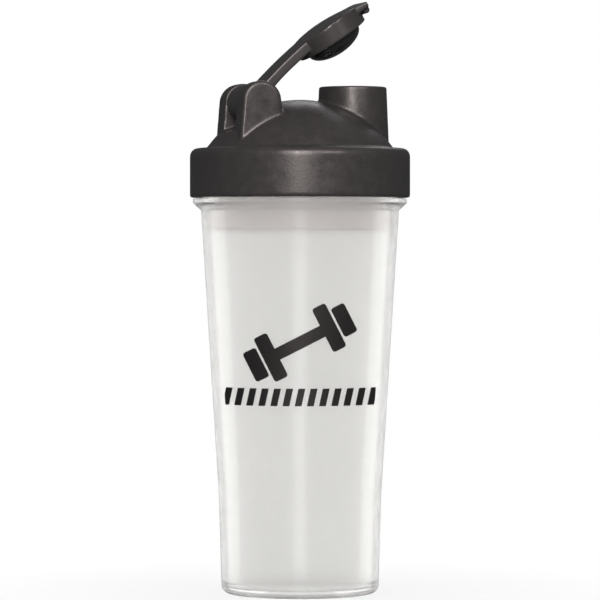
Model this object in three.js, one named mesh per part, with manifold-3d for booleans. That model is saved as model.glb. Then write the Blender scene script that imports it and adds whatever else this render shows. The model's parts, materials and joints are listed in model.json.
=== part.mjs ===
// A screw-top protein shaker: a tapered cup, a domed screw lid with a pouring spout and two hinge ears,
// a flip cap with its plug, a lid gasket and a clip-in mixing strainer.
// Millimetres, +Z up. The origin is the centre of the base; +X points from the hinge to the spout.
import * as THREE from 'three';
import { mergeVertices } from 'three/addons/utils/BufferGeometryUtils.js';
import Module from 'manifold-3d';

const wasm = await Module();
wasm.setup();

// ---- driving dimensions ----
const roundSegments = 48;
const seatGap = 0.3; // left between two pieces that touch

const cupBaseRadius = 33.8;
const cupWaistRadius = 35;
const cupWaistHeight = 42;
const cupMouthRadius = 42.6;
const cupShoulderHeight = 164.8;
const cupWall = 1.8;
const cupFloor = 2;
const baseCornerRadius = 4;
const innerCornerRadius = 3.5; // inside, where the wall meets the floor
const footRingInnerRadius = 22;
const footRecess = 1.2;
const collarOverhang = 3.5;
const collarRise = 3.2;
const collarBand = 1.8;
const neckHeight = 17.6;
const rimRounding = 0.5;

const skirtOverlapGap = 0.4; // skirt edge above the collar
const skirtGap = 2.8; // from the cup's neck to the inside of the skirt
const skirtWall = 2;
const skirtEdgeRounding = 1;
const lidCornerRadius = 6.5;
const shoulderThickness = 2.5;
const shoulderFlat = 0.6;
const ceilingChamfer = 2; // inside, where the skirt meets the ceiling
const domeRise = 20.9;
const domeWall = 2;

const gasketThickness = 1;
const gasketOverhang = 0.6; // beyond the rim of the cup
const gasketBevel = 0.25;
const threadDepth = 1.9;
const threadRootHeight = 1.8;
const threadCrestHeight = 1;
const threadStarts = 2;
const threadLead = 9;
const neckThreadSweep = THREE.MathUtils.degToRad(288);
const lidThreadSweep = THREE.MathUtils.degToRad(160);
const threadFirstRise = 3.4; // first turn of the neck thread above the collar
const threadRootSink = 0.4; // of each ridge into the wall that carries it
const threadStep = THREE.MathUtils.degToRad(9);
const threadRun = 1.65; // lid thread below the neck thread it pulls against

const sealRingDepth = 8;
const sealRingWall = 1.4;
const sealRingClearance = 0.5;
const strainerWall = 1.3;
const strainerDepth = 24.7; // below the seal ring
const strainerFloor = 1.6;
const strainerCornerRadius = 2;
const strainerFloorChamfer = 1;
const strainerClearance = 1.3; // to the cup wall at the strainer's widest
const strainerHole = 6.4;
const strainerPitch = 8.2;
const strainerMargin = 3;

const spoutOffset = 23.6;
const spoutRise = 5.8; // above the top of the dome
const spoutTopRadius = 14.6;
const spoutDraft = 0.041; // growth of the radius for each millimetre down
const spoutWall = 1.2;
const spoutLipRounding = 0.5;

const pivotX = -22.2;
const pivotDrop = 1.3; // below the top of the dome
const earRadius = 8.5;
const earThickness = 11.5;
const earEdgeBevel = 1.2;
const earBackLean = 1.8;
const earFrontLean = 2.2;
const earFrontRounding = 4.5; // of the upright outer corner that faces the spout
const trunnionRadius = 2.6;
const trunnionLength = 4.4;

const armHalfWidth = 10.2;
const hubRadius = 7.8;
const hubPocketRadius = 9.2;
const pocketFloorSlope = 0.34;
const restOpenAngle = THREE.MathUtils.degToRad(34);
const archHeelRise = 2.6; // above the pivot
const archCrownRise = 5.4; // control point above the cap's ceiling
const archCrownSetback = 7.6; // and towards the hinge from the spout's axis
const archTipRise = 1.2;
const armThickness = 2.4;
const armEdgeBevel = 0.5;
const armHeelReach = 8.2;
const armHeelDrop = 0.2;
const armFlareReach = 23.7;
const armFlareRise = -2.2;
const capSkirtWall = 1.1;
const capSkirtDepth = 5.3; // down over the spout
const capSkirtClearance = 0.75;
const tabReach = 2.8; // beyond the cap's skirt
const tabDrop = 4.8;
const tabThickness = 3;
const tabWidthShare = 0.8; // of the arm's width
const tabRootSink = 0.3; // its root's distance below the arm's top
const tabEdgeBevel = 0.4;
const plugClearance = 0.8;
const plugDepth = 6.4; // below the cap's skirt
const plugDomeDepth = 6.1;
const plugBossRadius = 6;
const plugBossLength = 3.7;
const plugEdgeRounding = 0.5;

// ---- worked out from them ----
const collarRadius = cupMouthRadius + collarOverhang;
const collarTop = cupShoulderHeight + collarRise + collarBand;
const rimTop = collarTop + neckHeight;
const neckBore = cupMouthRadius - cupWall;

const skirtBottom = collarTop + skirtOverlapGap;
const skirtBore = cupMouthRadius + skirtGap;
const lidOuterRadius = skirtBore + skirtWall;
const lidCeiling = rimTop + gasketThickness + 2 * seatGap;
const shoulderTop = lidCeiling + shoulderThickness;
const domeBaseRadius = lidOuterRadius - lidCornerRadius - shoulderFlat;
const domeTop = shoulderTop + domeRise;
const domeRadius = (domeBaseRadius ** 2 + domeRise ** 2) / (2 * domeRise);
const domeCentre = domeTop - domeRadius;
const sealRingRadius = neckBore - sealRingClearance;
const sealRingBottom = lidCeiling - sealRingDepth;

const spoutTop = domeTop + spoutRise;
const boreRadius = spoutTopRadius - spoutWall;
const pivotZ = domeTop - pivotDrop;
const earInner = armHalfWidth + seatGap;
const plugRadius = boreRadius - plugClearance;
const capSkirtBore = spoutTopRadius + capSkirtClearance;
const capSkirtRadius = capSkirtBore + capSkirtWall;
const capCeiling = spoutTop + seatGap;
const tabTip = spoutOffset + capSkirtRadius + tabReach;

// ---- shape helpers ----
function asSolid(geometry) {
  const bare = geometry.clone();
  bare.deleteAttribute('normal');
  bare.deleteAttribute('uv');
  const merged = mergeVertices(bare, 1e-4);
  const corners = merged.index.array;
  const kept = [];
  for (let i = 0; i < corners.length; i += 3) {
    const [a, b, c] = [corners[i], corners[i + 1], corners[i + 2]];
    if (a !== b && b !== c && c !== a) kept.push(a, b, c);
  }
  const vertProperties = new Float32Array(merged.attributes.position.array);
  const mesh = new wasm.Mesh({ numProp: 3, vertProperties, triVerts: new Uint32Array(kept) });
  return new wasm.Manifold(mesh);
}

function asGeometry(solid) {
  const mesh = solid.getMesh();
  const geometry = new THREE.BufferGeometry();
  geometry.setAttribute('position', new THREE.BufferAttribute(new Float32Array(mesh.vertProperties), 3));
  geometry.setIndex(new THREE.BufferAttribute(new Uint32Array(mesh.triVerts), 1));
  geometry.computeVertexNormals();
  return geometry;
}

function arc(centreR, centreZ, radius, from, to, steps) {
  const points = [];
  for (let i = 0; i <= steps; i += 1) {
    const angle = from + ((to - from) * i) / steps;
    points.push(new THREE.Vector2(centreR + radius * Math.cos(angle), centreZ + radius * Math.sin(angle)));
  }
  return points;
}

function at(radius, height) {
  return new THREE.Vector2(radius, height);
}

// A profile in (radius, height), turned about the Z axis.
function turned(profile, segments = roundSegments) {
  const geometry = new THREE.LatheGeometry(profile, segments);
  geometry.rotateX(Math.PI / 2);
  return asSolid(geometry);
}

// An outline in (x, z), given depth along Y from -halfWidth to +halfWidth.
function sideways(outline, halfWidth, bevel = 0) {
  const shape = outline instanceof THREE.Shape ? outline : new THREE.Shape(outline);
  const geometry = new THREE.ExtrudeGeometry(shape, {
    depth: 2 * (halfWidth - bevel),
    bevelEnabled: bevel > 0,
    bevelThickness: bevel,
    bevelSize: bevel,
    bevelOffset: -bevel,
    bevelSegments: 2,
    curveSegments: 16,
  });
  geometry.translate(0, 0, bevel - halfWidth);
  geometry.rotateX(Math.PI / 2);
  return asSolid(geometry);
}

function post(radius, bottom, top, x = 0, segments = roundSegments, topRadius = radius) {
  const geometry = new THREE.CylinderGeometry(topRadius, radius, top - bottom, segments);
  geometry.rotateX(Math.PI / 2);
  geometry.translate(x, 0, (top + bottom) / 2);
  return asSolid(geometry);
}

// A cylinder about the hinge axis, centred on y.
function axle(radius, length, y, segments) {
  const geometry = new THREE.CylinderGeometry(radius, radius, length, segments);
  geometry.translate(pivotX, y, pivotZ);
  return asSolid(geometry);
}

// A helix about Z whose frames stay radial, so that a thread's section keeps its attitude.
class ThreadPath extends THREE.Curve {
  constructor(radius, startAngle, sweep, startHeight) {
    super();
    Object.assign(this, { radius, startAngle, sweep, startHeight });
  }

  getPoint(t, target = new THREE.Vector3()) {
    const angle = this.startAngle + this.sweep * t;
    const rise = (threadLead * this.sweep * t) / (2 * Math.PI);
    return target.set(this.radius * Math.cos(angle), this.radius * Math.sin(angle), this.startHeight + rise);
  }

  computeFrenetFrames(steps) {
    const frames = { tangents: [], normals: [], binormals: [] };
    for (let i = 0; i <= steps; i += 1) {
      const angle = this.startAngle + (this.sweep * i) / steps;
      frames.tangents.push(new THREE.Vector3(-Math.sin(angle), Math.cos(angle), 0));
      frames.normals.push(new THREE.Vector3(Math.cos(angle), Math.sin(angle), 0));
      frames.binormals.push(new THREE.Vector3(0, 0, -1));
    }
    return frames;
  }
}

// One start of a thread. The crest points outwards when side is +1 and inwards when it is -1.
function threadRidge(wallRadius, side, startAngle, sweep, startHeight) {
  const root = -threadRootSink * side;
  const crest = threadDepth * side;
  const section = new THREE.Shape([
    at(root, -threadRootHeight / 2),
    at(crest, -threadCrestHeight / 2),
    at(crest, threadCrestHeight / 2),
    at(root, threadRootHeight / 2),
  ]);
  const extrudePath = new ThreadPath(wallRadius, startAngle, sweep, startHeight);
  const steps = Math.round(sweep / threadStep);
  return asSolid(new THREE.ExtrudeGeometry(section, { extrudePath, steps }));
}

function threadStartsOn(wallRadius, side, sweep, startHeight) {
  const ridges = [];
  for (let start = 0; start < threadStarts; start += 1) {
    ridges.push(threadRidge(wallRadius, side, (start * 2 * Math.PI) / threadStarts, sweep, startHeight));
  }
  return ridges.reduce((all, ridge) => all.add(ridge));
}

// ---- cup ----
function cup() {
  const innerWaist = cupWaistRadius - cupWall;
  const innerBase = cupBaseRadius - cupWall;
  const innerCorner = innerCornerRadius;
  const profile = [
    at(0, footRecess),
    at(footRingInnerRadius - footRecess, footRecess),
    at(footRingInnerRadius, 0),
    ...arc(cupBaseRadius - baseCornerRadius, baseCornerRadius, baseCornerRadius, -Math.PI / 2, 0, 5),
    at(cupWaistRadius, cupWaistHeight),
    at(cupMouthRadius, cupShoulderHeight),
    at(collarRadius, cupShoulderHeight + collarRise),
    at(collarRadius, collarTop - rimRounding),
    at(collarRadius - rimRounding, collarTop),
    at(cupMouthRadius, collarTop),
    at(cupMouthRadius, rimTop - rimRounding),
    at(cupMouthRadius - rimRounding, rimTop),
    at(neckBore + rimRounding, rimTop),
    at(neckBore, rimTop - rimRounding),
    at(neckBore, cupShoulderHeight),
    at(innerWaist, cupWaistHeight),
    ...arc(innerBase - innerCorner, footRecess + cupFloor + innerCorner, innerCorner, 0, -Math.PI / 2, 5),
    at(0, footRecess + cupFloor),
  ];
  const thread = threadStartsOn(cupMouthRadius, 1, neckThreadSweep, collarTop + threadFirstRise);
  return turned(profile).add(thread);
}

// ---- screw lid ----
function lidBlank() {
  const cornerCentre = lidOuterRadius - lidCornerRadius;
  const edge = skirtEdgeRounding;
  const domeFrom = Math.atan2(shoulderTop - domeCentre, domeBaseRadius);
  return turned([
    at(0, skirtBottom),
    ...arc(lidOuterRadius - edge, skirtBottom + edge, edge, -Math.PI / 2, 0, 3),
    ...arc(cornerCentre, shoulderTop - lidCornerRadius, lidCornerRadius, 0, Math.PI / 2, 5),
    ...arc(0, domeCentre, domeRadius, domeFrom, Math.PI / 2, 9).slice(0, -1),
    at(0, domeTop),
  ]);
}

function lidHollow() {
  const innerDome = domeRadius - domeWall;
  const ringBore = sealRingRadius - sealRingWall;
  const domeFrom = Math.acos(ringBore / innerDome);
  return turned([
    at(0, skirtBottom - 1),
    at(skirtBore, skirtBottom - 1),
    at(skirtBore, lidCeiling - ceilingChamfer),
    at(skirtBore - ceilingChamfer, lidCeiling),
    at(sealRingRadius, lidCeiling),
    at(sealRingRadius, sealRingBottom),
    at(ringBore, sealRingBottom),
    ...arc(0, domeCentre, innerDome, domeFrom, Math.PI / 2, 8).slice(0, -1),
    at(0, domeTop - domeWall),
  ]);
}

// One block as wide as both ears; the hub's pocket parts it into two.
function ears() {
  const outline = new THREE.Shape();
  const backFoot = pivotX - earRadius - earBackLean;
  const frontFoot = pivotX + earRadius + earFrontLean;
  outline.moveTo(backFoot, lidCeiling);
  outline.lineTo(frontFoot, lidCeiling);
  outline.lineTo(pivotX + earRadius, pivotZ);
  outline.absarc(pivotX, pivotZ, earRadius, 0, Math.PI, false);
  outline.lineTo(backFoot, lidCeiling);
  const outer = earInner + earThickness;
  return sideways(outline, outer, earEdgeBevel).intersect(earPlan(backFoot, frontFoot, outer));
}

// Both ears seen from above, with the outer corners that face the spout rounded off.
function earPlan(backFoot, frontFoot, outer) {
  const round = earFrontRounding;
  const plan = new THREE.Shape();
  plan.moveTo(backFoot, -outer);
  plan.lineTo(frontFoot - round, -outer);
  plan.absarc(frontFoot - round, -outer + round, round, -Math.PI / 2, 0, false);
  plan.absarc(frontFoot - round, outer - round, round, 0, Math.PI / 2, false);
  plan.lineTo(backFoot, outer);
  const top = pivotZ + earRadius + 1;
  const geometry = new THREE.ExtrudeGeometry(plan, {
    depth: top - lidCeiling,
    bevelEnabled: false,
    curveSegments: 5,
  });
  return asSolid(geometry.translate(0, 0, lidCeiling));
}

// The open-backed recess that the hub turns in. The margin grows it, to leave a floor beneath.
function hubPocket(margin) {
  const radius = hubPocketRadius + margin;
  const backX = -lidOuterRadius;
  const backFloor = pivotZ - radius - pocketFloorSlope * (pivotX - backX);
  const outline = new THREE.Shape();
  outline.moveTo(backX, backFloor);
  outline.lineTo(pivotX, pivotZ - radius);
  outline.absarc(pivotX, pivotZ, radius, -Math.PI / 2, 0, false);
  outline.lineTo(pivotX + radius, domeTop + earRadius);
  outline.lineTo(backX, domeTop + earRadius);
  return sideways(outline, earInner + margin);
}

function trunnionSockets() {
  const depth = trunnionLength + seatGap;
  const centre = earInner + depth / 2;
  const socket = (side) => axle(trunnionRadius + seatGap, depth + 0.2, side * (centre - 0.1), 24);
  return socket(1).add(socket(-1));
}

function spoutBody() {
  const bottomRadius = spoutTopRadius + spoutDraft * (spoutTop - lidCeiling);
  const edge = spoutLipRounding;
  const lipRadius = spoutTopRadius + spoutDraft * edge;
  const body = post(bottomRadius, lidCeiling, spoutTop - edge, spoutOffset, 48, lipRadius);
  const lip = post(spoutTopRadius, spoutTop - edge, spoutTop, spoutOffset, 48, spoutTopRadius - edge * 0.8);
  return body.add(lip);
}

function screwLid() {
  const hollow = lidHollow().subtract(hubPocket(domeWall));
  const bore = post(boreRadius, sealRingBottom, spoutTop + 1, spoutOffset, 48);
  const threadStart = collarTop + threadFirstRise - threadRun;
  return lidBlank()
    .add(ears())
    .add(spoutBody())
    .subtract(hubPocket(0))
    .subtract(trunnionSockets())
    .subtract(hollow)
    .subtract(bore)
    .add(threadStartsOn(skirtBore, -1, lidThreadSweep, threadStart));
}

// ---- lid gasket ----
function lidGasket() {
  const inner = sealRingRadius + seatGap;
  const outer = cupMouthRadius + gasketOverhang;
  const bottom = rimTop + seatGap;
  const top = bottom + gasketThickness;
  const bevel = gasketBevel;
  return turned([
    at(inner, bottom + bevel),
    at(inner + bevel, bottom),
    at(outer - bevel, bottom),
    at(outer, bottom + bevel),
    at(outer, top - bevel),
    at(outer - bevel, top),
    at(inner + bevel, top),
    at(inner, top - bevel),
    at(inner, bottom + bevel),
  ]);
}

// ---- mixing strainer ----
function strainerHoles(reach, bottom) {
  const holes = [];
  const rows = Math.floor(reach / strainerPitch);
  for (let i = -rows; i <= rows; i += 1) {
    for (let j = -rows; j <= rows; j += 1) {
      const [x, y] = [i * strainerPitch, j * strainerPitch];
      const corner = Math.hypot(Math.abs(x) + strainerHole / 2, Math.abs(y) + strainerHole / 2);
      if (corner > reach) continue;
      const hole = new THREE.BoxGeometry(strainerHole, strainerHole, 3 * strainerFloor);
      holes.push(asSolid(hole.translate(x, y, bottom + strainerFloor / 2)));
    }
  }
  return holes.reduce((all, hole) => all.add(hole));
}

function mixingStrainer() {
  const clipRadius = sealRingRadius - sealRingWall - seatGap;
  const radius = neckBore - strainerClearance;
  const step = sealRingBottom - seatGap;
  const bottom = sealRingBottom - strainerDepth;
  const corner = strainerCornerRadius;
  const inner = radius - strainerWall;
  const body = turned([
    at(0, bottom),
    ...arc(radius - corner, bottom + corner, corner, -Math.PI / 2, 0, 3),
    at(radius, step),
    at(clipRadius, step),
    at(clipRadius, lidCeiling - seatGap),
    at(clipRadius - strainerWall, lidCeiling - seatGap),
    at(clipRadius - strainerWall, step - strainerWall),
    at(inner, step - 2 * strainerWall),
    at(inner, bottom + strainerFloor + strainerFloorChamfer),
    at(inner - strainerFloorChamfer, bottom + strainerFloor),
    at(0, bottom + strainerFloor),
  ]);
  return body.subtract(strainerHoles(inner - strainerMargin, bottom));
}

// ---- flip cap, drawn closed ----
const archHeel = at(pivotX, pivotZ + archHeelRise);
const archCrown = at(spoutOffset - archCrownSetback, capCeiling + archCrownRise);
const archTip = at(tabTip, capCeiling + archTipRise);

// Everything under the arched top of the cap, down to a floor.
function underArch(floor, halfWidth) {
  const outline = new THREE.Shape();
  outline.moveTo(archHeel.x, archHeel.y);
  outline.lineTo(archHeel.x, floor);
  outline.lineTo(archTip.x, floor);
  outline.lineTo(archTip.x, archTip.y);
  outline.quadraticCurveTo(archCrown.x, archCrown.y, archHeel.x, archHeel.y);
  return sideways(outline, halfWidth);
}

// The arm's side view: the arched top, and a thin underside that deepens to a heel at the hub.
function arm() {
  const outline = new THREE.Shape();
  outline.moveTo(archHeel.x, archHeel.y);
  outline.lineTo(archHeel.x, pivotZ);
  outline.lineTo(pivotX + armHeelReach, pivotZ - armHeelDrop);
  const flare = at(pivotX + armFlareReach, capCeiling + armFlareRise);
  outline.quadraticCurveTo(flare.x, flare.y, archTip.x, archTip.y - armThickness);
  outline.lineTo(archTip.x, archTip.y);
  outline.quadraticCurveTo(archCrown.x, archCrown.y, archHeel.x, archHeel.y);
  return sideways(outline, armHalfWidth, armEdgeBevel);
}

function thumbTab() {
  const left = archTip.x - tabThickness;
  const radius = tabThickness / 2;
  const bottom = archTip.y - tabDrop + radius;
  const outline = new THREE.Shape();
  outline.moveTo(archTip.x, archTip.y - tabRootSink);
  outline.lineTo(left, archTip.y - tabRootSink);
  outline.lineTo(left, bottom);
  outline.absarc(left + radius, bottom, radius, Math.PI, 2 * Math.PI, false);
  return sideways(outline, armHalfWidth * tabWidthShare, tabEdgeBevel);
}

// The round head that closes over the spout, before its well is cut.
function capHead(skirtEdge) {
  const block = post(capSkirtRadius, skirtEdge, archTip.y + archCrownRise, spoutOffset, 48);
  return block.intersect(underArch(skirtEdge - 1, capSkirtRadius + 1));
}

function flipCap() {
  const skirtEdge = spoutTop - capSkirtDepth;
  const well = post(capSkirtBore, skirtEdge - 1, capCeiling, spoutOffset, 48);
  const boss = post(plugBossRadius, capCeiling - plugBossLength, capCeiling + 1, spoutOffset, 24);
  const hub = axle(hubRadius, 2 * armHalfWidth, 0, 32);
  const trunnions = axle(trunnionRadius, 2 * (armHalfWidth + trunnionLength), 0, 24);
  return arm()
    .add(capHead(skirtEdge))
    .subtract(well)
    .add(thumbTab())
    .add(boss)
    .add(hub)
    .add(trunnions);
}

function spoutPlug() {
  const top = capCeiling - seatGap;
  const bottom = spoutTop - capSkirtDepth - plugDepth;
  const well = plugBossRadius + seatGap;
  const wellFloor = capCeiling - plugBossLength - seatGap;
  const steps = 6;
  const crown = [];
  for (let i = 0; i <= steps; i += 1) {
    const angle = (i / steps) * (Math.PI / 2);
    crown.push(at(plugRadius * Math.sin(angle), bottom + plugDomeDepth * (1 - Math.cos(angle))));
  }
  const profile = [
    ...crown,
    at(plugRadius, top - plugEdgeRounding),
    at(plugRadius - plugEdgeRounding, top),
    at(well, top),
    at(well, wellFloor),
    at(0, wellFloor),
  ];
  profile[0].x = 0;
  return turned(profile, 40).translate([spoutOffset, 0, 0]);
}

// ---- assembly ----
function part(name, solid, color, roughness, opacity = 1) {
  const material = new THREE.MeshStandardMaterial({ color, roughness, metalness: 0 });
  material.transparent = opacity < 1;
  material.opacity = opacity;
  const mesh = new THREE.Mesh(asGeometry(solid), material);
  mesh.name = name;
  return mesh;
}

const shaker = new THREE.Group();
shaker.add(part('cup', cup(), 0xd3d2d2, 0.55, 0.75));
shaker.add(part('mixing_strainer', mixingStrainer(), 0xdad6d5, 0.5, 0.85));
shaker.add(part('lid_gasket', lidGasket(), 0xe6e4e0, 0.7));
shaker.add(part('screw_lid', screwLid(), 0x383737, 0.45));

// The cap and its plug share one group on the hinge axis, turned up to the open rest position.
const hinged = new THREE.Group();
hinged.position.set(pivotX, 0, pivotZ);
hinged.rotation.y = -restOpenAngle;
const toPivot = [-pivotX, 0, -pivotZ];
hinged.add(part('flip_cap', flipCap().translate(toPivot), 0x3b3a3a, 0.45));
hinged.add(part('spout_plug', spoutPlug().translate(toPivot), 0x1d1d1e, 0.3));
shaker.add(hinged);

export default shaker;
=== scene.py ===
import json
import math

import bmesh
import bpy
from mathutils import Matrix, Vector


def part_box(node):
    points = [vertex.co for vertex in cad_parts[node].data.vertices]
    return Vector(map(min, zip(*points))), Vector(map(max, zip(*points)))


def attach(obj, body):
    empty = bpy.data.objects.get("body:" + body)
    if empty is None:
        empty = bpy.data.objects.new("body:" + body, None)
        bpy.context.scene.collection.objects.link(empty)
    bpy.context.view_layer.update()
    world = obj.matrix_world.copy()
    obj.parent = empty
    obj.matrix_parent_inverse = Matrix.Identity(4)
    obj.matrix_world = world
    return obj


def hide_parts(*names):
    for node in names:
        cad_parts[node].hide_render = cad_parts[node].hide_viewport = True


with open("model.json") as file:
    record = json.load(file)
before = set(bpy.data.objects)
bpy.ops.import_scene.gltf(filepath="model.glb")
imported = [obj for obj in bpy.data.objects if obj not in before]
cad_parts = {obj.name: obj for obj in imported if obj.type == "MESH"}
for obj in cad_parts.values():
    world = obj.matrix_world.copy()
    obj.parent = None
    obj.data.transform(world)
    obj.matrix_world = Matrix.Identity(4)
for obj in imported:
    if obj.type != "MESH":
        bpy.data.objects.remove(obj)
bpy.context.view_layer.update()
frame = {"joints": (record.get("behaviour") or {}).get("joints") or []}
mm = 0.001
seatGap = 0.3 * mm  # left between two pieces that touch
past = 1 * mm  # how far a cutting shape reaches past what it cuts
mergeDistance = 1e-6
tiny = 1e-7  # two lengths nearer than this are the same

joints = {joint["name"]: joint for joint in frame["joints"]}
pivot = Vector(joints["cap_hinge"]["pos_m"])
# the cap is drawn shut, then turned up by this
openAngle = math.radians(-joints["cap_hinge"]["range_deg"][0])
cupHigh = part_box("cup")[1]
lidLow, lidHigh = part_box("screw_lid")
gasketLow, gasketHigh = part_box("lid_gasket")
strainerLow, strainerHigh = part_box("mixing_strainer")


def link(name, mesh):
    obj = bpy.data.objects.new(name, mesh)
    bpy.context.scene.collection.objects.link(obj)
    return obj


def finishMesh(bm, name, smooth=True):
    bmesh.ops.remove_doubles(bm, verts=bm.verts, dist=mergeDistance)
    bmesh.ops.recalc_face_normals(bm, faces=bm.faces)
    mesh = bpy.data.meshes.new(name)
    bm.to_mesh(mesh)
    bm.free()
    for polygon in mesh.polygons:
        polygon.use_smooth = smooth
    return link(name, mesh)


def ring(points):
    return [Vector(point) for point in points]


def bridge(bm, near, far):
    # closes two matching rings of corners into a solid
    bm.faces.new(near)
    bm.faces.new(far)
    for i in range(len(near)):
        j = (i + 1) % len(near)
        bm.faces.new((near[i], near[j], far[j], far[i]))


def rounded(corners, steps=6):
    # corners are (x, y) or (x, y, radius); each one with a radius becomes an arc
    points = []
    count = len(corners)
    for i, corner in enumerate(corners):
        here = Vector(corner[:2])
        radius = corner[2] if len(corner) > 2 else 0
        if radius <= 0:
            points.append(here)
            continue
        before = Vector(corners[i - 1][:2]) - here
        after = Vector(corners[(i + 1) % count][:2]) - here
        half = before.angle(after) / 2
        reach = min(radius / math.tan(half), 0.49 * before.length, 0.49 * after.length)
        radius = reach * math.tan(half)
        inwards = (before.normalized() + after.normalized()).normalized()
        centre = here + inwards * (radius / math.sin(half))
        start = here + before.normalized() * reach - centre
        end = here + after.normalized() * reach - centre
        turn = start.angle_signed(end)
        for step in range(steps + 1):
            points.append(centre + Matrix.Rotation(-turn * step / steps, 2) @ start)
    return points


def lathe(name, outline, segments, x=0.0):
    # outline is a closed ring of (radius, height); points on the axis become poles
    bm = bmesh.new()
    rings = []
    for point in outline:
        if point[0] < tiny:
            rings.append([bm.verts.new((x, 0, point[1]))] * segments)
            continue
        circle = []
        for i in range(segments):
            angle = 2 * math.pi * i / segments
            place = (x + point[0] * math.cos(angle), point[0] * math.sin(angle), point[1])
            circle.append(bm.verts.new(place))
        rings.append(circle)
    for a, b in zip(rings, rings[1:] + rings[:1]):
        for i in range(segments):
            j = (i + 1) % segments
            corners = list(dict.fromkeys([a[i], a[j], b[j], b[i]]))
            if len(corners) > 2:
                bm.faces.new(corners)
    return finishMesh(bm, name)


def prism(name, outline, halfWidth, rounding=0.0, roundingSteps=3):
    # outline in (x, z), given depth along y; rounding softens the two rims
    bm = bmesh.new()
    near = [bm.verts.new((p[0], -halfWidth, p[1])) for p in outline]
    far = [bm.verts.new((p[0], halfWidth, p[1])) for p in outline]
    bridge(bm, near, far)
    bmesh.ops.recalc_face_normals(bm, faces=bm.faces)
    if rounding > 0:
        rims = []
        for edge in bm.edges:
            y, otherY = [vert.co.y for vert in edge.verts]
            if abs(abs(y) - halfWidth) < tiny and abs(y - otherY) < tiny:
                rims.append(edge)
        bmesh.ops.bevel(bm, geom=rims, offset=rounding, segments=roundingSteps, profile=0.5,
                        affect="EDGES", clamp_overlap=True)
    return finishMesh(bm, name)


def column(name, outline, bottom, top):
    # outline in (x, y), given height
    bm = bmesh.new()
    lower = [bm.verts.new((p[0], p[1], bottom)) for p in outline]
    upper = [bm.verts.new((p[0], p[1], top)) for p in outline]
    bridge(bm, lower, upper)
    return finishMesh(bm, name)


def axle(name, radius, halfLength, segments=64):
    outline = []
    for i in range(segments):
        angle = 2 * math.pi * i / segments
        outline.append((pivot.x + radius * math.cos(angle), pivot.z + radius * math.sin(angle)))
    return prism(name, outline, halfLength)


def settle(obj):
    # the evaluated mesh takes the place of the mesh and its modifiers
    depsgraph = bpy.context.evaluated_depsgraph_get()
    mesh = bpy.data.meshes.new_from_object(obj.evaluated_get(depsgraph))
    obj.modifiers.clear()
    obj.data = mesh
    return obj


def combine(target, tool, operation, selfCrossing=False):
    modifier = target.modifiers.new(operation.lower(), "BOOLEAN")
    modifier.operation = operation
    modifier.solver = "EXACT"
    modifier.use_self = selfCrossing
    modifier.object = tool
    settle(target)
    bpy.data.objects.remove(tool)
    return target


def soften(obj, voxel, repeats):
    # one skin with small even fillets in every corner
    remesh = obj.modifiers.new("remesh", "REMESH")
    remesh.mode = "VOXEL"
    remesh.voxel_size = voxel
    remesh.use_smooth_shade = True
    smooth = obj.modifiers.new("smooth", "SMOOTH")
    smooth.factor = 0.5
    smooth.iterations = repeats
    return settle(obj)


def bezier(start, control, end, steps):
    points = []
    for i in range(steps + 1):
        t = i / steps
        points.append(Vector(start) * (1 - t) ** 2 + Vector(control) * 2 * t * (1 - t) + Vector(end) * t * t)
    return points


def newTree(name, sizes):
    tree = bpy.data.node_groups.new(name, "GeometryNodeTree")
    tree.interface.new_socket("Geometry", in_out="INPUT", socket_type="NodeSocketGeometry")
    for label, kind in sizes:
        tree.interface.new_socket(label, in_out="INPUT", socket_type=kind)
    tree.interface.new_socket("Geometry", in_out="OUTPUT", socket_type="NodeSocketGeometry")
    return tree, tree.nodes.new("NodeGroupInput"), tree.nodes.new("NodeGroupOutput")


def grow(name, tree, values, material):
    # runs a tree on an empty mesh and keeps the result as a plain mesh
    obj = link(name, bpy.data.meshes.new(name))
    modifier = obj.modifiers.new(name, "NODES")
    modifier.node_group = tree
    for socket in tree.interface.items_tree:
        if socket.in_out == "INPUT" and socket.name in values:
            modifier[socket.identifier] = values[socket.name]
        if socket.in_out == "INPUT" and socket.name == "Material":
            modifier[socket.identifier] = material
    return settle(obj)


def mathNode(tree, operation, a, b=None):
    node = tree.nodes.new("ShaderNodeMath")
    node.operation = operation
    for socket, value in zip(node.inputs, (a, b)):
        if value is None:
            continue
        if isinstance(value, (int, float)):
            socket.default_value = value
        else:
            tree.links.new(value, socket)
    return node.outputs[0]


def vectorOf(tree, x=0.0, y=0.0, z=0.0):
    node = tree.nodes.new("ShaderNodeCombineXYZ")
    for socket, value in zip(node.inputs, (x, y, z)):
        if isinstance(value, (int, float)):
            socket.default_value = value
        else:
            tree.links.new(value, socket)
    return node.outputs[0]


def copiesOf(tree, count, offset, shape):
    # one instance of the shape on each of count points, moved from the origin by offset
    line = tree.nodes.new("GeometryNodeMeshLine")
    tree.links.new(count, line.inputs["Count"])
    line.inputs["Offset"].default_value = (0, 0, 0)
    place = tree.nodes.new("GeometryNodeSetPosition")
    tree.links.new(line.outputs["Mesh"], place.inputs["Geometry"])
    tree.links.new(offset, place.inputs["Offset"])
    copies = tree.nodes.new("GeometryNodeInstanceOnPoints")
    tree.links.new(place.outputs["Geometry"], copies.inputs["Points"])
    tree.links.new(shape, copies.inputs["Instance"])
    return copies


def closeTree(tree, geometry, given, result):
    # instances become real faces in the piece's material
    solid = tree.nodes.new("GeometryNodeRealizeInstances")
    tree.links.new(geometry, solid.inputs["Geometry"])
    painted = tree.nodes.new("GeometryNodeSetMaterial")
    tree.links.new(solid.outputs["Geometry"], painted.inputs["Geometry"])
    tree.links.new(given.outputs["Material"], painted.inputs["Material"])
    tree.links.new(painted.outputs["Geometry"], result.inputs["Geometry"])
    return tree


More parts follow.
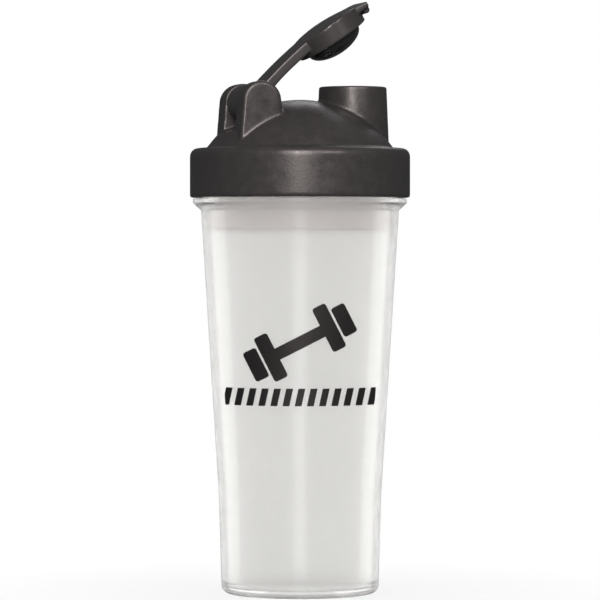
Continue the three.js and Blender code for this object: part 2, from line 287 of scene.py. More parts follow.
def surfaceGroup():
    # the fine mottle of a moulded skin, and slow changes over the piece
    group = bpy.data.node_groups.new("mouldedSkin", "ShaderNodeTree")
    defaults = {"Grain Scale": 900.0, "Cloud Scale": 30.0, "Grain Amount": 0.1, "Cloud Amount": 0.1}
    for label, value in defaults.items():
        socket = group.interface.new_socket(label, in_out="INPUT", socket_type="NodeSocketFloat")
        socket.default_value = value
    for label in ("Shade", "Roughness Shift", "Height"):
        group.interface.new_socket(label, in_out="OUTPUT", socket_type="NodeSocketFloat")
    given = group.nodes.new("NodeGroupInput")
    result = group.nodes.new("NodeGroupOutput")
    place = group.nodes.new("ShaderNodeTexCoord")
    noises = {}
    for label, detail in (("Grain", 3.0), ("Cloud", 2.0)):
        node = group.nodes.new("ShaderNodeTexNoise")
        node.inputs["Detail"].default_value = detail
        group.links.new(place.outputs["Object"], node.inputs["Vector"])
        group.links.new(given.outputs[label + " Scale"], node.inputs["Scale"])
        centred = mathNode(group, "SUBTRACT", node.outputs["Fac"], 0.5)
        noises[label] = mathNode(group, "MULTIPLY", centred, given.outputs[label + " Amount"])
    both = mathNode(group, "ADD", noises["Grain"], noises["Cloud"])
    group.links.new(mathNode(group, "ADD", both, 1.0), result.inputs["Shade"])
    group.links.new(noises["Cloud"], result.inputs["Roughness Shift"])
    group.links.new(noises["Grain"], result.inputs["Height"])
    return group


mouldedSkin = surfaceGroup()


def moulded(name, color, roughness, grainScale=900.0, grain=0.12, cloudScale=30.0, cloud=0.15,
            bump=0.05, **more):
    # bump is in millimetres; more holds constants for the shader's own sockets
    material = bpy.data.materials.new(name)
    material.use_nodes = True
    tree = material.node_tree
    shader = tree.nodes["Principled BSDF"]
    skin = tree.nodes.new("ShaderNodeGroup")
    skin.node_tree = mouldedSkin
    for label, value in (("Grain Scale", grainScale), ("Cloud Scale", cloudScale),
                         ("Grain Amount", grain), ("Cloud Amount", cloud)):
        skin.inputs[label].default_value = value
    tint = tree.nodes.new("ShaderNodeMix")
    tint.data_type = "RGBA"
    tint.blend_type = "MULTIPLY"
    tint.inputs["Factor"].default_value = 1.0
    tint.inputs["A"].default_value = (*color, 1)
    tree.links.new(skin.outputs["Shade"], tint.inputs["B"])
    tree.links.new(tint.outputs["Result"], shader.inputs["Base Color"])
    shifted = mathNode(tree, "ADD", skin.outputs["Roughness Shift"], roughness)
    tree.links.new(shifted, shader.inputs["Roughness"])
    relief = tree.nodes.new("ShaderNodeBump")
    relief.inputs["Strength"].default_value = 1.0
    relief.inputs["Distance"].default_value = bump * mm
    tree.links.new(skin.outputs["Height"], relief.inputs["Height"])
    tree.links.new(relief.outputs["Normal"], shader.inputs["Normal"])
    for label, value in more.items():
        shader.inputs[label.replace("_", " ")].default_value = value
    return material


def letShadowRaysThrough(material, share):
    # this share of the light passes the wall, as it does in frosted plastic
    tree = material.node_tree
    shadowRay = tree.nodes.new("ShaderNodeLightPath").outputs["Is Shadow Ray"]
    passed = mathNode(tree, "SUBTRACT", 1.0, mathNode(tree, "MULTIPLY", shadowRay, share))
    tree.links.new(passed, tree.nodes["Principled BSDF"].inputs["Alpha"])


print("materials")
cupPlastic = moulded("frosted_cup", (0.878, 0.875, 0.863), 0.2, grainScale=500, grain=0.03,
                     cloudScale=14, cloud=0.04, bump=0.03, IOR=1.3, Transmission_Weight=0.84)
strainerPlastic = moulded("frosted_strainer", (0.985, 0.93, 0.92), 0.25, grainScale=500, grain=0.03,
                          cloudScale=14, cloud=0.05, bump=0.03, IOR=1.2, Transmission_Weight=0.45)
letShadowRaysThrough(cupPlastic, 0.75)
gasketRubber = moulded("gasket_silicone", (0.78, 0.76, 0.73), 0.62, grainScale=1500, grain=0.08,
                       cloud=0.08, bump=0.02)
lidPlastic = moulded("lid_satin", (0.0225, 0.022, 0.022), 0.36, grainScale=1300, grain=0.5,
                     cloudScale=240, cloud=0.3, bump=0.09)
capPlastic = moulded("cap_satin", (0.024, 0.0235, 0.0235), 0.34, grainScale=1500, grain=0.45,
                     cloudScale=40, cloud=0.12, bump=0.05)
plugPlastic = moulded("plug_gloss", (0.012, 0.012, 0.0125), 0.24, grainScale=900, grain=0.2,
                      cloudScale=60, cloud=0.08, bump=0.01)
printInk = moulded("print_ink", (0.008, 0.008, 0.008), 0.42, grainScale=2500, grain=0.3,
                   cloudScale=80, cloud=0.1, bump=0.01)

threadSizes = {
    "lead": 9 * mm,
    "starts": 2,
    "stepsPerTurn": 96,
    "root": 1.8 * mm,
    "depth": 1.9 * mm,
    "lidSink": 0.3 * mm,  # how far the lid's ridges reach into its wall
    "firstRise": 3.4 * mm,  # from the collar up to the cup's ridges
    "run": 1.65 * mm,  # how far the lid's ridges start below the cup's
    "neckTurns": 0.8,
    "lidTurns": 160 / 360,
}


def threadTree():
    # a helix with a four-sided section, repeated for each start
    tree, given, result = newTree("threadRidges", [
        ("Radius", "NodeSocketFloat"), ("Lead", "NodeSocketFloat"), ("Turns", "NodeSocketFloat"),
        ("Ridge", "NodeSocketFloat"), ("Depth", "NodeSocketFloat"), ("Bottom", "NodeSocketFloat"),
        ("Starts", "NodeSocketInt"), ("Material", "NodeSocketMaterial")])
    new, join = tree.nodes.new, tree.links.new
    helix = new("GeometryNodeCurveSpiral")
    helix.inputs["Resolution"].default_value = threadSizes["stepsPerTurn"]
    join(given.outputs["Turns"], helix.inputs["Rotations"])
    join(given.outputs["Radius"], helix.inputs["Start Radius"])
    join(given.outputs["Radius"], helix.inputs["End Radius"])
    join(mathNode(tree, "MULTIPLY", given.outputs["Lead"], given.outputs["Turns"]), helix.inputs["Height"])
    upright = new("GeometryNodeSetCurveNormal")
    upright.mode = "Z_UP"
    join(helix.outputs["Curve"], upright.inputs["Curve"])
    section = new("GeometryNodeCurvePrimitiveQuadrilateral")
    join(given.outputs["Depth"], section.inputs["Width"])
    join(given.outputs["Ridge"], section.inputs["Height"])
    sweep = new("GeometryNodeCurveToMesh")
    sweep.inputs["Fill Caps"].default_value = True
    join(upright.outputs["Curve"], sweep.inputs["Curve"])
    join(section.outputs["Curve"], sweep.inputs["Profile Curve"])
    raised = vectorOf(tree, z=given.outputs["Bottom"])
    copies = copiesOf(tree, given.outputs["Starts"], raised, sweep.outputs["Mesh"])
    share = mathNode(tree, "DIVIDE", new("GeometryNodeInputIndex").outputs[0], given.outputs["Starts"])
    join(vectorOf(tree, z=mathNode(tree, "MULTIPLY", share, 2 * math.pi)), copies.inputs["Rotation"])
    return closeTree(tree, copies.outputs["Instances"], given, result)


def gridTree():
    # crossed bars, each as long as the round opening is wide where it lies
    tree, given, result = newTree("strainerGrid", [
        ("Radius", "NodeSocketFloat"), ("Pitch", "NodeSocketFloat"), ("Bar", "NodeSocketFloat"),
        ("Thickness", "NodeSocketFloat"), ("Height", "NodeSocketFloat"), ("Bars", "NodeSocketInt"),
        ("Material", "NodeSocketMaterial")])
    new, join = tree.nodes.new, tree.links.new
    both = new("GeometryNodeJoinGeometry")
    index = new("GeometryNodeInputIndex").outputs[0]
    middle = mathNode(tree, "DIVIDE", mathNode(tree, "SUBTRACT", given.outputs["Bars"], 1), 2)
    offset = mathNode(tree, "MULTIPLY", mathNode(tree, "SUBTRACT", index, middle), given.outputs["Pitch"])
    squares = mathNode(tree, "SUBTRACT", mathNode(tree, "POWER", given.outputs["Radius"], 2),
                       mathNode(tree, "MULTIPLY", offset, offset))
    aboveZero = mathNode(tree, "MAXIMUM", squares, 1e-8)
    length = mathNode(tree, "MULTIPLY", mathNode(tree, "SQRT", aboveZero), 2)
    for along, across in (("x", "y"), ("y", "x")):
        bar = new("GeometryNodeMeshCube")
        sides = {along: 1.0, across: given.outputs["Bar"], "z": given.outputs["Thickness"]}
        join(vectorOf(tree, **sides), bar.inputs["Size"])
        places = vectorOf(tree, **{across: offset, "z": given.outputs["Height"]})
        copies = copiesOf(tree, given.outputs["Bars"], places, bar.outputs["Mesh"])
        stretch = {along: length, across: 1.0, "z": 1.0}
        join(vectorOf(tree, **stretch), copies.inputs["Scale"])
        join(copies.outputs["Instances"], both.inputs["Geometry"])
    return closeTree(tree, both.outputs["Geometry"], given, result)


threadRidges = threadTree()
strainerGrid = gridTree()


def threads(name, radius, depth, bottom, turns, material):
    return grow(name, threadRidges, {
        "Radius": radius, "Lead": threadSizes["lead"], "Turns": turns, "Ridge": threadSizes["root"],
        "Depth": depth, "Bottom": bottom, "Starts": threadSizes["starts"]}, material)


cupSizes = {
    "segments": 192,
    "arcSteps": 8,
    "baseRadius": 33.8 * mm,
    "baseRounding": 3.6 * mm,
    "waistRadius": 35.0 * mm,
    "waistHeight": 42.0 * mm,
    "waistBlend": 60 * mm,
    "mouthRadius": 42.6 * mm,
    "shoulderHeight": 164.8 * mm,
    "shoulderFillet": 1.2 * mm,
    "neckBlend": 4 * mm,
    "collarTop": 169.8 * mm,
    "collarBand": 1.8 * mm,
    "collarLowerRounding": 0.6 * mm,
    "collarRounding": 0.5 * mm,
    "collarFillet": 0.4 * mm,
    "rimRounding": 0.6 * mm,
    "wall": 1.8 * mm,
    "floor": 2.0 * mm,
    "floorFillet": 3.4 * mm,
    "footInner": 22.0 * mm,
    "footRounding": 0.8 * mm,
    "recess": 1.2 * mm,
}


def makeCup(material):
    s = cupSizes
    rimTop = cupHigh.z
    neckBore = s["mouthRadius"] - s["wall"]
    outline = rounded([
        (0, s["recess"]),
        (s["footInner"] - s["recess"], s["recess"], s["footRounding"]),
        (s["footInner"], 0, s["footRounding"]),
        (s["baseRadius"], 0, s["baseRounding"]),
        (s["waistRadius"], s["waistHeight"], s["waistBlend"]),
        (s["mouthRadius"], s["shoulderHeight"], s["shoulderFillet"]),
        (cupHigh.x, s["collarTop"] - s["collarBand"], s["collarLowerRounding"]),
        (cupHigh.x, s["collarTop"], s["collarRounding"]),
        (s["mouthRadius"], s["collarTop"], s["collarFillet"]),
        (s["mouthRadius"], rimTop, s["rimRounding"]),
        (neckBore, rimTop, s["rimRounding"]),
        (neckBore, s["shoulderHeight"], s["neckBlend"]),
        (s["waistRadius"] - s["wall"], s["waistHeight"], s["waistBlend"]),
        (s["baseRadius"] - s["wall"], s["recess"] + s["floor"], s["floorFillet"]),
        (0, s["recess"] + s["floor"]),
    ], s["arcSteps"])
    body = lathe("cup_body", outline, s["segments"])
    ridges = threads("cup_thread", s["mouthRadius"] + threadSizes["depth"] / 2, threadSizes["depth"],
                     s["collarTop"] + threadSizes["firstRise"], threadSizes["neckTurns"], material)
    return combine(body, ridges, "UNION")


strainerSizes = {
    "segments": 160,
    "arcSteps": 4,
    "wall": 1.3 * mm,
    "floor": 1.6 * mm,
    "floorRounding": 2.2 * mm,
    "floorFillet": 1.2 * mm,
    "stepRounding": 0.6 * mm,
    "stepFillet": 0.3 * mm,
    "clipRadius": 38.6 * mm,
    "clipRounding": 0.4 * mm,
    "gridRadius": 36.4 * mm,
    "gridEdge": 0.5 * mm,
    "gridSink": 0.6 * mm,  # how far the bars reach into the ring round them
    "gridInset": 0.1 * mm,  # how much thinner the bars are than the ring
    "pitch": 8.2 * mm,
    "bar": 1.8 * mm,
    "bars": 9,
}


def makeStrainer(material):
    s = strainerSizes
    step = lidSizes["ringBottom"] - seatGap
    clipBore = s["clipRadius"] - s["wall"]
    basketBore = strainerHigh.x - s["wall"]
    outline = rounded([
        (s["gridRadius"], strainerLow.z, s["gridEdge"]),
        (strainerHigh.x, strainerLow.z, s["floorRounding"]),
        (strainerHigh.x, step, s["stepRounding"]),
        (s["clipRadius"], step, s["stepFillet"]),
        (s["clipRadius"], strainerHigh.z, s["clipRounding"]),
        (clipBore, strainerHigh.z, s["clipRounding"]),
        (clipBore, step - s["wall"], s["stepRounding"]),
        (basketBore, step - 2 * s["wall"], s["stepRounding"]),
        (basketBore, strainerLow.z + s["floor"], s["floorFillet"]),
        (s["gridRadius"], strainerLow.z + s["floor"], s["gridEdge"]),
    ], s["arcSteps"])
    body = lathe("strainer_body", outline, s["segments"])
    bars = grow("strainer_grid", strainerGrid, {
        "Radius": s["gridRadius"] + s["gridSink"], "Pitch": s["pitch"], "Bar": s["bar"],
        "Thickness": s["floor"] - s["gridInset"], "Height": strainerLow.z + s["floor"] / 2,
        "Bars": s["bars"]}, material)
    return combine(body, bars, "UNION", True)


gasketSizes = {"segments": 128, "arcSteps": 4, "inner": 40.6 * mm, "rounding": 0.35 * mm}


def makeGasket():
    s = gasketSizes
    return lathe("lid_gasket_ring", rounded([
        (s["inner"], gasketLow.z, s["rounding"]),
        (gasketHigh.x, gasketLow.z, s["rounding"]),
        (gasketHigh.x, gasketHigh.z, s["rounding"]),
        (s["inner"], gasketHigh.z, s["rounding"]),
    ], s["arcSteps"]), s["segments"])


lidSizes = {
    "segments": 160,
    "arcSteps": 10,
    "wall": 2.0 * mm,
    "cornerRadius": 6.5 * mm,
    "edgeRadius": 1.0 * mm,
    "shoulderTop": 191.5 * mm,
    "shoulderFlat": 0.6 * mm,
    "ceiling": 189.0 * mm,
    "chamfer": 2.0 * mm,
    "domeTop": 212.4 * mm,
    "domeSteps": 40,
    "innerDomeSteps": 24,
    "ringRadius": 40.3 * mm,
    "ringWall": 1.4 * mm,
    "ringBottom": 181.0 * mm,
    "spoutX": 23.6 * mm,
    "spoutTop": 218.2 * mm,
    "spoutRadius": 14.6 * mm,
    "spoutDraft": 0.041,
    "spoutWall": 1.2 * mm,
    "spoutRounding": 0.5 * mm,
    "boreFlare": 0.4 * mm,
    "spoutSegments": 96,
    "earRadius": 8.5 * mm,
    "earInner": 10.5 * mm,
    "earOuter": 22.0 * mm,
    "earBackLean": 1.8 * mm,
    "earFrontLean": 2.2 * mm,
    "earFrontRounding": 4.5 * mm,
    "earEdge": 1.2 * mm,
    "earSteps": 24,
    "pocketRadius": 9.2 * mm,
    "pocketSlope": 0.34,
    "pocketSteps": 12,
    "pocketBehind": 5 * mm,
    "pocketAbove": 10 * mm,
    "socketRadius": 2.9 * mm,
    "socketDepth": 4.7 * mm,
    "voxel": 0.55 * mm,
    "softening": 7,
}


def hubPocket(name, margin):
    s = lidSizes
    radius = s["pocketRadius"] + margin
    back = lidLow.x - s["pocketBehind"]
    top = lidHigh.z + s["pocketAbove"]
    outline = [(back, pivot.z - radius - s["pocketSlope"] * (pivot.x - back)), (pivot.x, pivot.z - radius)]
    for i in range(1, s["pocketSteps"] + 1):
        angle = math.radians(-90 + 90 * i / s["pocketSteps"])
        outline.append((pivot.x + radius * math.cos(angle), pivot.z + radius * math.sin(angle)))
    return prism(name, outline + [(pivot.x + radius, top), (back, top)], s["earInner"] + margin)


def makeEars():
    s = lidSizes
    back = pivot.x - s["earRadius"] - s["earBackLean"]
    front = pivot.x + s["earRadius"] + s["earFrontLean"]
    outline = [(back, s["ceiling"]), (front, s["ceiling"])]
    for i in range(s["earSteps"] + 1):
        angle = math.pi * i / s["earSteps"]
        outline.append((pivot.x + s["earRadius"] * math.cos(angle),
                        pivot.z + s["earRadius"] * math.sin(angle)))
    block = prism("ears", outline, s["earOuter"], s["earEdge"])
    plan = rounded([
        (back - past, -s["earOuter"]),
        (front, -s["earOuter"], s["earFrontRounding"]),
        (front, s["earOuter"], s["earFrontRounding"]),
        (back - past, s["earOuter"]),
    ], 8)
    return combine(block, column("ear_plan", plan, s["ceiling"] - past, lidHigh.z + past), "INTERSECT")


def makeLid(material):
    s = lidSizes
    rise = s["domeTop"] - s["shoulderTop"]
    domeBase = lidHigh.x - s["cornerRadius"] - s["shoulderFlat"]
    domeRadius = (domeBase ** 2 + rise ** 2) / (2 * rise)
    centre = s["domeTop"] - domeRadius

    def dome(radius, fromRadius, steps):
        start = math.acos(fromRadius / radius)
        points = []
        for i in range(steps):
            angle = start + (math.pi / 2 - start) * i / steps
            points.append(Vector((radius * math.cos(angle), centre + radius * math.sin(angle))))
        return points + [Vector((0, centre + radius))]

    side = rounded([
        (0, lidLow.z),
        (lidHigh.x, lidLow.z, s["edgeRadius"]),
        (lidHigh.x, s["shoulderTop"], s["cornerRadius"]),
        (domeBase, s["shoulderTop"]),
    ], s["arcSteps"])
    shell = lathe("lid_shell", side[:-1] + dome(domeRadius, domeBase, s["domeSteps"]), s["segments"])
    combine(shell, makeEars(), "UNION")
    foot = s["spoutRadius"] + s["spoutDraft"] * (s["spoutTop"] - s["ceiling"])
    spout = lathe("spout", rounded([
        (0, s["ceiling"]),
        (foot, s["ceiling"]),
        (s["spoutRadius"], s["spoutTop"], s["spoutRounding"]),
        (0, s["spoutTop"]),
    ], 4), s["spoutSegments"], s["spoutX"])
    combine(shell, spout, "UNION")
    combine(shell, hubPocket("hub_pocket", 0), "DIFFERENCE")
    soften(shell, s["voxel"], s["softening"])

    # the inside is cut after the softening, so its edges stay crisp
    ringBore = s["ringRadius"] - s["ringWall"]
    bore = lidHigh.x - s["wall"]
    hollowSide = ring([
        (0, lidLow.z - past),
        (bore, lidLow.z - past),
        (bore, s["ceiling"] - s["chamfer"]),
        (bore - s["chamfer"], s["ceiling"]),
        (s["ringRadius"], s["ceiling"]),
        (s["ringRadius"], s["ringBottom"]),
        (ringBore, s["ringBottom"]),
    ])
    hollowDome = dome(domeRadius - s["wall"], ringBore, s["innerDomeSteps"])
    hollow = lathe("hollow", hollowSide + hollowDome, s["segments"])
    combine(hollow, hubPocket("pocket_floor", s["wall"]), "DIFFERENCE")
    combine(shell, hollow, "DIFFERENCE")
    boreRadius = s["spoutRadius"] - s["spoutWall"]
    spoutBore = lathe("spout_bore", ring([
        (0, s["ringBottom"]),
        (boreRadius, s["ringBottom"]),
        (boreRadius, s["spoutTop"] - s["boreFlare"]),
        (boreRadius + s["boreFlare"], s["spoutTop"]),
        (boreRadius + s["boreFlare"], s["spoutTop"] + past),
        (0, s["spoutTop"] + past),
    ]), s["spoutSegments"], s["spoutX"])
    combine(shell, spoutBore, "DIFFERENCE")
    combine(shell, axle("sockets", s["socketRadius"], s["earInner"] + s["socketDepth"]), "DIFFERENCE")
    sink = threadSizes["lidSink"]
    start = cupSizes["collarTop"] + threadSizes["firstRise"] - threadSizes["run"]
    ridges = threads("lid_thread", bore - threadSizes["depth"] / 2 + sink, threadSizes["depth"] + 2 * sink,
                     start, threadSizes["lidTurns"], material)
    return combine(shell, ridges, "UNION")


capSizes = {
    "armHalf": 10.2 * mm,
    "armEdge": 0.5 * mm,
    "hubRadius": 7.8 * mm,
    "trunnionRadius": 2.6 * mm,
    "trunnionLength": 4.4 * mm,
    "heelRise": 2.6 * mm,
    "crown": (16.0 * mm, 223.9 * mm),
    "tip": (42.85 * mm, 219.7 * mm),
    "thickness": 2.4 * mm,
    "heelReach": 8.2 * mm,
    "heelDrop": 0.2 * mm,
    "flare": (1.5 * mm, 216.3 * mm),
    "topSteps": 32,
    "underSteps": 24,
    "ceiling": 218.5 * mm,
    "skirtEdge": 212.9 * mm,
    "skirtRadius": 16.45 * mm,
    "skirtBore": 15.35 * mm,
    "skirtRounding": 0.3 * mm,
    "headRise": 6 * mm,
    "headSegments": 96,
    "bossRadius": 6.0 * mm,
    "bossBottom": 214.8 * mm,
    "bossSegments": 48,
    "tabThickness": 3.0 * mm,
    "tabDrop": 4.8 * mm,
    "tabSink": 0.3 * mm,
    "tabShare": 0.8,  # of the arm's width
    "tabEdge": 0.4 * mm,
    "voxel": 0.4 * mm,
    "softening": 5,
}


def openUp(obj):
    # turns a piece that is drawn on the closed cap up to where the cap rests
    turn = Matrix.Rotation(openAngle, 4, Vector((0, -1, 0)))
    obj.data.transform(Matrix.Translation(pivot) @ turn @ Matrix.Translation(-pivot))
    return obj


def makeFlipCap():
    s = capSizes
    spoutX = lidSizes["spoutX"]
    tipX, tipZ = s["tip"]
    top = bezier((pivot.x, pivot.z + s["heelRise"]), s["crown"], s["tip"], s["topSteps"])
    heel = (pivot.x + s["heelReach"], pivot.z - s["heelDrop"])
    under = bezier((tipX, tipZ - s["thickness"]), s["flare"], heel, s["underSteps"])
    body = prism("flip_cap_shell", top + under + [(pivot.x, pivot.z)], s["armHalf"], s["armEdge"])
    head = lathe("head", rounded([
        (0, s["skirtEdge"]),
        (s["skirtRadius"], s["skirtEdge"], s["skirtRounding"]),
        (s["skirtRadius"], tipZ + s["headRise"]),
        (0, tipZ + s["headRise"]),
    ], 3), s["headSegments"], spoutX)
    floor = s["skirtEdge"] - past
    arch = prism("under_arch", top + [(tipX, floor), (pivot.x, floor)], s["skirtRadius"] + past)
    combine(head, arch, "INTERSECT")
    combine(body, head, "UNION")
    well = lathe("well", ring([
        (0, floor - past),
        (s["skirtBore"], floor - past),
        (s["skirtBore"], s["ceiling"]),
        (0, s["ceiling"]),
    ]), s["headSegments"], spoutX)
    combine(body, well, "DIFFERENCE")
    left = tipX - s["tabThickness"]
    bottom = tipZ - s["tabDrop"]
    tab = prism("tab", rounded([
        (tipX, tipZ - s["tabSink"]),
        (left, tipZ - s["tabSink"]),
        (left, bottom, s["tabThickness"] / 2),
        (tipX, bottom, s["tabThickness"] / 2),
    ], 6), s["armHalf"] * s["tabShare"], s["tabEdge"])
    combine(body, tab, "UNION")
    boss = lathe("boss", ring([
        (0, s["bossBottom"]),
        (s["bossRadius"], s["bossBottom"]),
        (s["bossRadius"], s["ceiling"] + past),
        (0, s["ceiling"] + past),
    ]), s["bossSegments"], spoutX)
    combine(body, boss, "UNION")
    combine(body, axle("hub", s["hubRadius"], s["armHalf"]), "UNION")
    soften(body, s["voxel"], s["softening"])
    combine(body, axle("trunnions", s["trunnionRadius"], s["armHalf"] + s["trunnionLength"]), "UNION")
    return openUp(body)


plugSizes = {
    "segments": 96,
    "crownSteps": 20,
    "radius": 12.6 * mm,
    "bottom": 206.5 * mm,
    "domeDepth": 6.1 * mm,
    "top": 218.2 * mm,
    "topRounding": 0.5 * mm,
    "wellRadius": 6.3 * mm,
    "wellFloor": 214.5 * mm,
    "wellRounding": 0.3 * mm,
}


def makePlug():
    s = plugSizes
    crown = []
    for i in range(s["crownSteps"] + 1):
        angle = math.pi / 2 * i / s["crownSteps"]
        height = s["bottom"] + s["domeDepth"] * (1 - math.cos(angle))
        crown.append(Vector((s["radius"] * math.sin(angle), height)))
    rest = rounded([
        (s["radius"], s["top"], s["topRounding"]),
        (s["wellRadius"], s["top"], s["wellRounding"]),
        (s["wellRadius"], s["wellFloor"]),
        (0, s["wellFloor"]),
        (s["radius"], s["bottom"] + s["domeDepth"]),
    ], 4)
    return openUp(lathe("spout_plug_dome", crown + rest[:-1], s["segments"], lidSizes["spoutX"]))


printSizes = {
    "facing": math.radians(-15),
    "inset": 0.01 * mm,
    "proud": 0.09 * mm,
    "dumbbellHeight": 108.8 * mm,
    "tilt": math.radians(27),
    "handleLength": 21.4 * mm,
    "handleWidth": 5.2 * mm,
    "plateWidth": 6.2 * mm,
    "plateRounding": 1.2 * mm,
    "plates": ((13.8 * mm, 20.5 * mm), (20.9 * mm, 13.5 * mm)),  # place along the handle, and height
    "rowHeight": 85.7 * mm,
    "rowWidth": 66.8 * mm,
    "bars": 13,
    "barWidth": 2.9 * mm,
    "barHeight": 7.4 * mm,
    "slant": 0.8 * mm,
    "cutterNear": -50 * mm,
    "cutterFar": -20 * mm,
}


def wallRadius(height):
    s = cupSizes
    share = (height - s["waistHeight"]) / (s["shoulderHeight"] - s["waistHeight"])
    return s["waistRadius"] + (s["mouthRadius"] - s["waistRadius"]) * share


def onCup(name, outline):
    # a flat outline (across, height) cut out of a thin skin on the cup's wall, on its printed side
    s = printSizes
    heights = [p[1] for p in outline]
    low = min(heights) - past
    high = max(heights) + past
    toFront = Matrix.Rotation(s["facing"], 3, "Z")
    bm = bmesh.new()
    near, far = [], []
    for p in outline:
        near.append(bm.verts.new(toFront @ Vector((p[0], s["cutterNear"], p[1]))))
        far.append(bm.verts.new(toFront @ Vector((p[0], s["cutterFar"], p[1]))))
    bridge(bm, near, far)
    cutter = finishMesh(bm, "cutter", False)
    skin = lathe(name, ring([
        (wallRadius(low) + s["inset"], low),
        (wallRadius(low) + s["proud"], low),
        (wallRadius(high) + s["proud"], high),
        (wallRadius(high) + s["inset"], high),
    ]), cupSizes["segments"])
    return combine(skin, cutter, "INTERSECT")


def turnedOutline(points, angle, centre):
    turn = Matrix.Rotation(angle, 2)
    return [turn @ Vector(p) + Vector(centre) for p in points]


def box(width, height, x=0.0, radius=0.0):
    w = width / 2
    h = height / 2
    return rounded([(x - w, -h, radius), (x + w, -h, radius), (x + w, h, radius), (x - w, h, radius)], 5)


def joined(name, objects):
    bm = bmesh.new()
    for obj in objects:
        bm.from_mesh(obj.data)
        bpy.data.objects.remove(obj)
    return finishMesh(bm, name, False)


def makePrint():
    # a plain dumbbell above a row of plain bars
    s = printSizes
    centre = (0, s["dumbbellHeight"])
    shapes = [turnedOutline(box(s["handleLength"], s["handleWidth"]), s["tilt"], centre)]
    for side in (-1, 1):
        for reach, height in s["plates"]:
            plate = box(s["plateWidth"], height, side * reach, s["plateRounding"])
            shapes.append(turnedOutline(plate, s["tilt"], centre))
    dumbbell = joined("print_dumbbell", [onCup("dumbbell_part", shape) for shape in shapes])
    bars = []
    w = s["barWidth"] / 2
    low = s["rowHeight"] - s["barHeight"] / 2
    high = s["rowHeight"] + s["barHeight"] / 2
    for i in range(s["bars"]):
        x = (i - (s["bars"] - 1) / 2) * s["rowWidth"] / s["bars"]
        bars.append(onCup("bar", [(x - w - s["slant"], low), (x + w - s["slant"], low),
                                  (x + w + s["slant"], high), (x - w + s["slant"], high)]))
    return dumbbell, joined("print_bars", bars)


def dress(obj, material, body, node=None):
    obj.data.materials.clear()
    obj.data.materials.append(material)
    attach(obj, body)
    if node:
        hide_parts(node)
    return obj


print("cup and strainer")
clearPieces = [
    dress(makeCup(cupPlastic), cupPlastic, "cup", "cup"),
    dress(makeStrainer(strainerPlastic), strainerPlastic, "lid", "mixing_strainer"),
    dress(makeGasket(), gasketRubber, "gasket", "lid_gasket"),
]
print("lid, cap and plug")
blackPieces = [
    dress(makeLid(lidPlastic), lidPlastic, "lid", "screw_lid"),
    dress(makeFlipCap(), capPlastic, "cap", "flip_cap"),
    dress(makePlug(), plugPlastic, "cap", "spout_plug"),
]
print("print")
for mark in makePrint():
    blackPieces.append(dress(mark, printInk, "cup"))


stageSizes = {
    "azimuth": math.radians(-15),
    "distance": 1.6,
    "cameraHeight": 0.150,
    "target": Vector((0, 0, 0.1262)),
    "lens": 222.8,
    "sensor": 36,
    "lightHeight": 0.13,
    "fillStrength": 0.62,
    "reflectedStrength": 0.08,
    "floorRadius": 2.4,
    "floorSegments": 96,
    "floorAlpha": 0.16,
    "fadeFrom": 0.03,
    "fadeTo": 0.16,
}


def aim(obj, place, target):
    obj.location = place
    obj.rotation_euler = (Vector(target) - Vector(place)).to_track_quat("-Z", "Y").to_euler()


def around(azimuth, elevation, distance):
    # a place round the bottle; azimuth is measured from the camera's
    a = stageSizes["azimuth"] + math.radians(azimuth)
    e = math.radians(elevation)
    way = Vector((math.sin(a) * math.cos(e), -math.cos(a) * math.cos(e), math.sin(e)))
    return way * distance + Vector((0, 0, stageSizes["lightHeight"]))


def softbox(name, pieces, azimuth, elevation, distance, aimHeight, width, height, watts, color=(1, 1, 1)):
    # lights only the given pieces
    light = bpy.data.lights.new(name, "AREA")
    light.shape = "RECTANGLE"
    light.size = width
    light.size_y = height
    light.energy = watts
    light.color = color
    obj = bpy.data.objects.new(name, light)
    bpy.context.scene.collection.objects.link(obj)
    aim(obj, around(azimuth, elevation, distance), (0, 0, aimHeight))
    group = bpy.data.collections.new(obj.name + "_on")
    for piece in pieces:
        group.objects.link(piece)
    obj.light_linking.receiver_collection = group


print("stage")
camera = bpy.data.objects.new("camera", bpy.data.cameras.new("camera"))
bpy.context.scene.collection.objects.link(camera)
outwards = Vector((math.sin(stageSizes["azimuth"]), -math.cos(stageSizes["azimuth"]), 0))
cameraPlace = outwards * stageSizes["distance"] + Vector((0, 0, stageSizes["cameraHeight"]))
aim(camera, cameraPlace, stageSizes["target"])
camera.data.lens = stageSizes["lens"]
camera.data.sensor_width = stageSizes["sensor"]
camera.data.dof.use_dof = False
bpy.context.scene.camera = camera

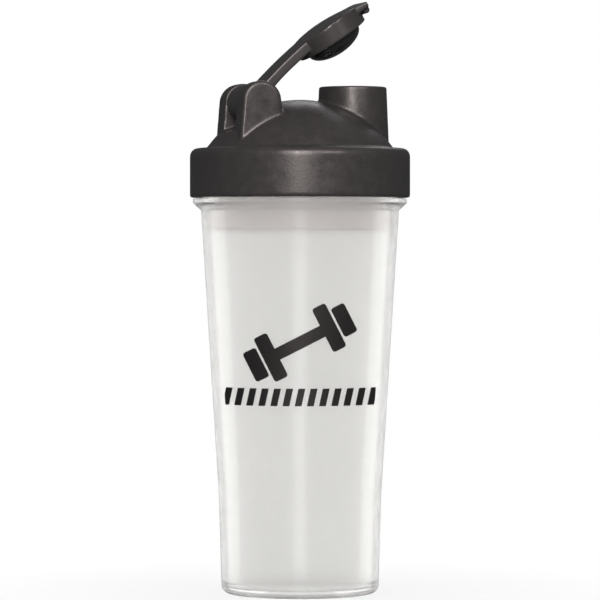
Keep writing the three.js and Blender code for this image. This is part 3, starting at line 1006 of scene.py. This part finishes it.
# the black plastic and the clear plastic are lit apart, as each needs its own exposure
warm = (1.0, 0.88, 0.86)
softbox("lid_key", blackPieces, azimuth=-1, elevation=26, distance=1.2, aimHeight=0.15,
        width=0.24, height=0.75, watts=17, color=warm)
softbox("ear_key", blackPieces, azimuth=34, elevation=30, distance=1.2, aimHeight=0.2,
        width=0.2, height=0.3, watts=4.2, color=warm)
softbox("lid_back", blackPieces, azimuth=170, elevation=40, distance=1.2, aimHeight=0.2,
        width=0.6, height=0.5, watts=1.6)
softbox("cup_front", clearPieces, azimuth=0, elevation=2, distance=1.2, aimHeight=0.1,
        width=0.32, height=0.9, watts=2.4)
for side in (-1, 1):
    softbox("cup_side", clearPieces, azimuth=side * 112, elevation=0, distance=1.1, aimHeight=0.1,
            width=0.6, height=0.9, watts=4)
    softbox("cup_rim", clearPieces, azimuth=side * 155, elevation=0, distance=1.1, aimHeight=0.1,
            width=0.5, height=0.9, watts=0.9)

world = bpy.data.worlds.new("studio")
bpy.context.scene.world = world
world.use_nodes = True
sky = world.node_tree
rays = sky.nodes.new("ShaderNodeLightPath").outputs
# full white behind the bottle and through its walls, less as fill light, and least in reflections
straight = mathNode(sky, "MAXIMUM", rays["Is Camera Ray"], rays["Is Transmission Ray"])
fill = mathNode(sky, "MULTIPLY", rays["Is Diffuse Ray"], stageSizes["fillStrength"])
brighter = mathNode(sky, "MAXIMUM", straight, fill)
strength = mathNode(sky, "MAXIMUM", brighter, stageSizes["reflectedStrength"])
sky.nodes["Background"].inputs["Color"].default_value = (1, 1, 1, 1)
sky.links.new(strength, sky.nodes["Background"].inputs["Strength"])
bpy.context.scene.view_settings.view_transform = "Standard"

# a pale floor that fades out into the background
bm = bmesh.new()
bmesh.ops.create_circle(bm, cap_ends=True, radius=stageSizes["floorRadius"],
                        segments=stageSizes["floorSegments"])
floor = finishMesh(bm, "floor", False)
paper = moulded("paper", (0.9, 0.9, 0.9), 0.8, grainScale=300, grain=0.02,
                cloudScale=3, cloud=0.02, bump=0.02)
tree = paper.node_tree
distance = tree.nodes.new("ShaderNodeVectorMath")
distance.operation = "LENGTH"
tree.links.new(tree.nodes.new("ShaderNodeTexCoord").outputs["Object"], distance.inputs[0])
fade = tree.nodes.new("ShaderNodeMapRange")
fade.inputs["From Min"].default_value = stageSizes["fadeFrom"]
fade.inputs["From Max"].default_value = stageSizes["fadeTo"]
fade.inputs["To Min"].default_value = stageSizes["floorAlpha"]
fade.inputs["To Max"].default_value = 0.0
tree.links.new(distance.outputs["Value"], fade.inputs["Value"])
tree.links.new(fade.outputs["Result"], tree.nodes["Principled BSDF"].inputs["Alpha"])
floor.data.materials.append(paper)
